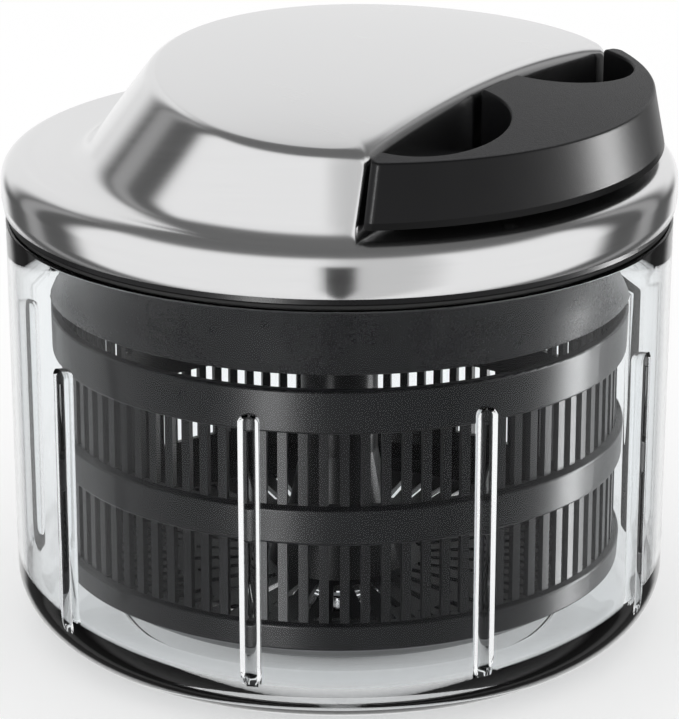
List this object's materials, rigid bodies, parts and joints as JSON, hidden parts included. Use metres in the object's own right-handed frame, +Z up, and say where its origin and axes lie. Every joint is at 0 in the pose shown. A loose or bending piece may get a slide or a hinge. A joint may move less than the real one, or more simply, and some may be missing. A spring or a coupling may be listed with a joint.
{
  "type": "salad spinner",
  "caption": "Pull-cord salad spinner: clear ribbed bowl, slotted basket on a central pivot, and a brushed steel lid with a raised housing and a crescent pull handle.",
  "frame": {"origin": "centre of the bowl's underside", "axes": "+Z up along the spin axis, +X the way the handle pulls"},
  "size_m": [0.24, 0.24, 0.2131],
  "materials": {
    "brushed_steel": "brushed",
    "clear_plastic": "clear polished",
    "black_plastic": "satin moulded",
    "grip_plastic": "fine-grained",
    "seal_rubber": "smooth",
    "bare_steel": "turned",
    "spring_steel": "blued strip",
    "housing_plastic": "moulded",
    "bearing_plastic": "acetal",
    "cord_braid": "braided",
    "brass": "crimped"
  },
  "bodies": {
    "bowl": {"bowl": "clear_plastic", "pivot_pin": "bare_steel"},
    "bush": {"pivot_bush": "bearing_plastic"},
    "basket": {"basket": "black_plastic"},
    "lid": {"steel_lid": "brushed_steel", "lid_studs": "bare_steel", "inner_cover": "black_plastic", "lid_seal": "seal_rubber", "cover_screws": "bare_steel", "drum_housing": "housing_plastic", "housing_cap": "housing_plastic", "housing_screws": "bare_steel", "cap_screws": "bare_steel", "centre_axle": "bare_steel", "retaining_clip": "bare_steel", "axle_spacer": "bearing_plastic", "hub_bush": "bearing_plastic", "recoil_spring": "spring_steel", "cord_eyelet": "bearing_plastic", "cord_run": "cord_braid"},
    "hub": {"drive_hub": "housing_plastic", "ratchet_ring": "bare_steel"},
    "drum": {"cord_drum": "housing_plastic", "drum_bush": "bearing_plastic", "cord_winding": "cord_braid", "pawl_pins": "bare_steel"},
    "pawl_front": {"pawl_front": "bare_steel"},
    "pawl_back": {"pawl_back": "bare_steel"},
    "handle": {"handle_grip": "grip_plastic", "handle_base": "black_plastic", "handle_screws": "bare_steel", "cord_end": "cord_braid", "cord_ferrule": "brass"}
  },
  "joints": [
    {"name": "basket_spin", "type": "hinge", "parent": "bowl", "child": "bush", "pos_m": [0, 0, 0.02], "axis": [0, 0, 1], "continuous": true},
    {"name": "basket_lift", "type": "slide", "parent": "bush", "child": "basket", "axis": [0, 0, 1], "range_m": [0, 0.15]},
    {"name": "lid_lift", "type": "slide", "parent": "bowl", "child": "lid", "axis": [0, 0, 1], "range_m": [0, 0.3]},
    {"name": "hub_spin", "type": "hinge", "parent": "lid", "child": "hub", "pos_m": [0, 0, 0.13], "axis": [0, 0, 1], "continuous": true},
    {"name": "handle_pull", "type": "slide", "parent": "lid", "child": "handle", "axis": [1, 0, 0], "range_m": [0, 0.45]},
    {"name": "drum_spin", "type": "hinge", "parent": "lid", "child": "drum", "pos_m": [0, 0, 0.18], "axis": [0, 0, 1], "range_deg": [0, 720.01]},
    {"name": "pawl_front_swing", "type": "hinge", "parent": "drum", "child": "pawl_front", "pos_m": [0.016, 0, 0.155], "axis": [0, 0, -1], "range_deg": [0, 19]},
    {"name": "pawl_back_swing", "type": "hinge", "parent": "drum", "child": "pawl_back", "pos_m": [-0.016, 0, 0.155], "axis": [0, 0, -1], "range_deg": [0, 19]}
  ],
  "couplings": [
    {"joint": "basket_lift", "follows": "lid_lift", "ratio": 0.5},
    {"joint": "hub_spin", "follows": "basket_spin", "ratio": 1},
    {"joint": "drum_spin", "follows": "handle_pull", "rad_per_m": 27.925},
    {"joint": "pawl_back_swing", "follows": "pawl_front_swing", "ratio": 1}
  ]
}
